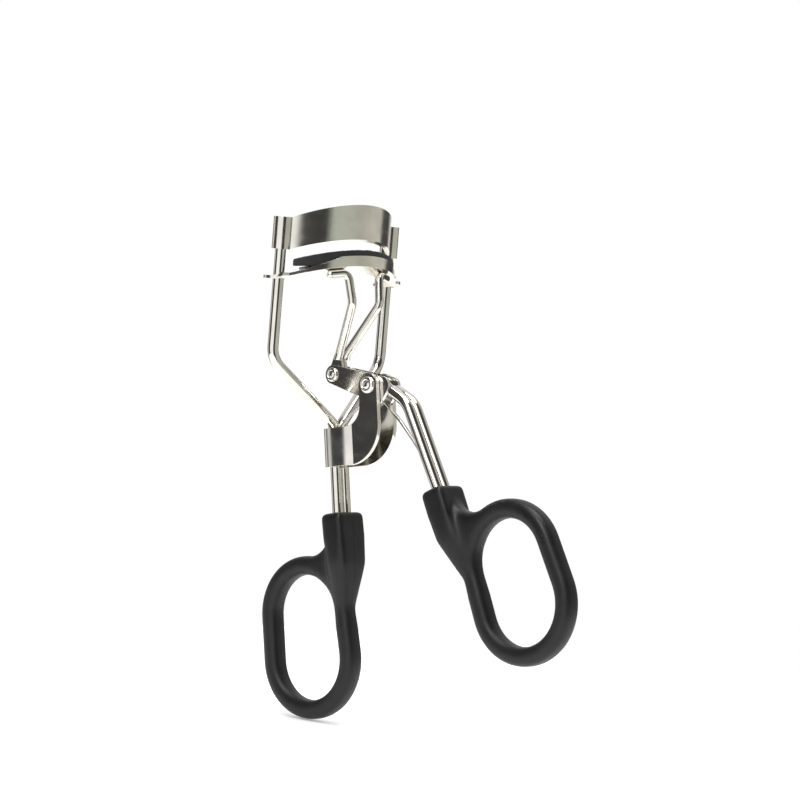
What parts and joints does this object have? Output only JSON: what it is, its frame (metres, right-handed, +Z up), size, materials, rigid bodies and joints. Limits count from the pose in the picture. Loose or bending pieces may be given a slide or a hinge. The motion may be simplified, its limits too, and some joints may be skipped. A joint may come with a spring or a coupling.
{
  "type": "eyelash curler",
  "caption": "Scissor-action eyelash curler: curved upper jaw on wire posts, padded lower jaw raised by a sprung lever handle, oval finger loops.",
  "frame": {"origin": "midway between the two posts, just under the upper jaw, where lashes enter", "axes": "+Z up the posts, X across from post to post, -Y the front where the jaws bulge and the moving handle swings"},
  "size_m": [0.0382, 0.0788, 0.1033],
  "materials": {
    "frame_wire": "bright nickel plate",
    "jaw_sheet": "bright nickel plate",
    "bracket_sheet": "bright nickel plate",
    "rivets": "bright nickel plate",
    "lever_sheet": "bright nickel plate",
    "handle_wire": "bright nickel plate",
    "rod_wire": "bright nickel plate",
    "spring_wire": "drawn spring steel",
    "grip_plastic": "soft-touch matt black",
    "pad_rubber": "matt black rubber"
  },
  "bodies": {
    "frame": {"left_frame_wire": "frame_wire", "right_frame_wire": "frame_wire", "upper_jaw": "jaw_sheet", "fulcrum_bracket": "bracket_sheet", "fulcrum_rivet": "rivets", "fixed_grip": "grip_plastic", "torsion_spring": "spring_wire"},
    "handle": {"left_handle_wire": "handle_wire", "right_handle_wire": "handle_wire", "left_lever_plate": "lever_sheet", "right_lever_plate": "lever_sheet", "handle_rivet": "rivets", "link_rivet": "rivets", "moving_grip": "grip_plastic"},
    "lower_jaw": {"pad_trough": "jaw_sheet", "rubber_pad": "pad_rubber", "left_push_rod": "rod_wire", "right_push_rod": "rod_wire"}
  },
  "joints": [
    {"name": "handle_hinge", "type": "hinge", "parent": "frame", "child": "handle", "pos_m": [0, -0.0138, -0.024], "axis": [1, 0, 0], "range_deg": [-28, 13.1], "stiffness_Nm_per_rad": 0.06, "springref_deg": -11.46, "deforming": ["torsion_spring"]},
    {"name": "lower_jaw_slide", "type": "slide", "parent": "frame", "child": "lower_jaw", "axis": [0, 0, 1], "range_m": [-0.00502, 0.00235]}
  ],
  "couplings": [
    {"joint": "lower_jaw_slide", "follows": "handle_hinge", "m_per_rad": 0.01025}
  ]
}
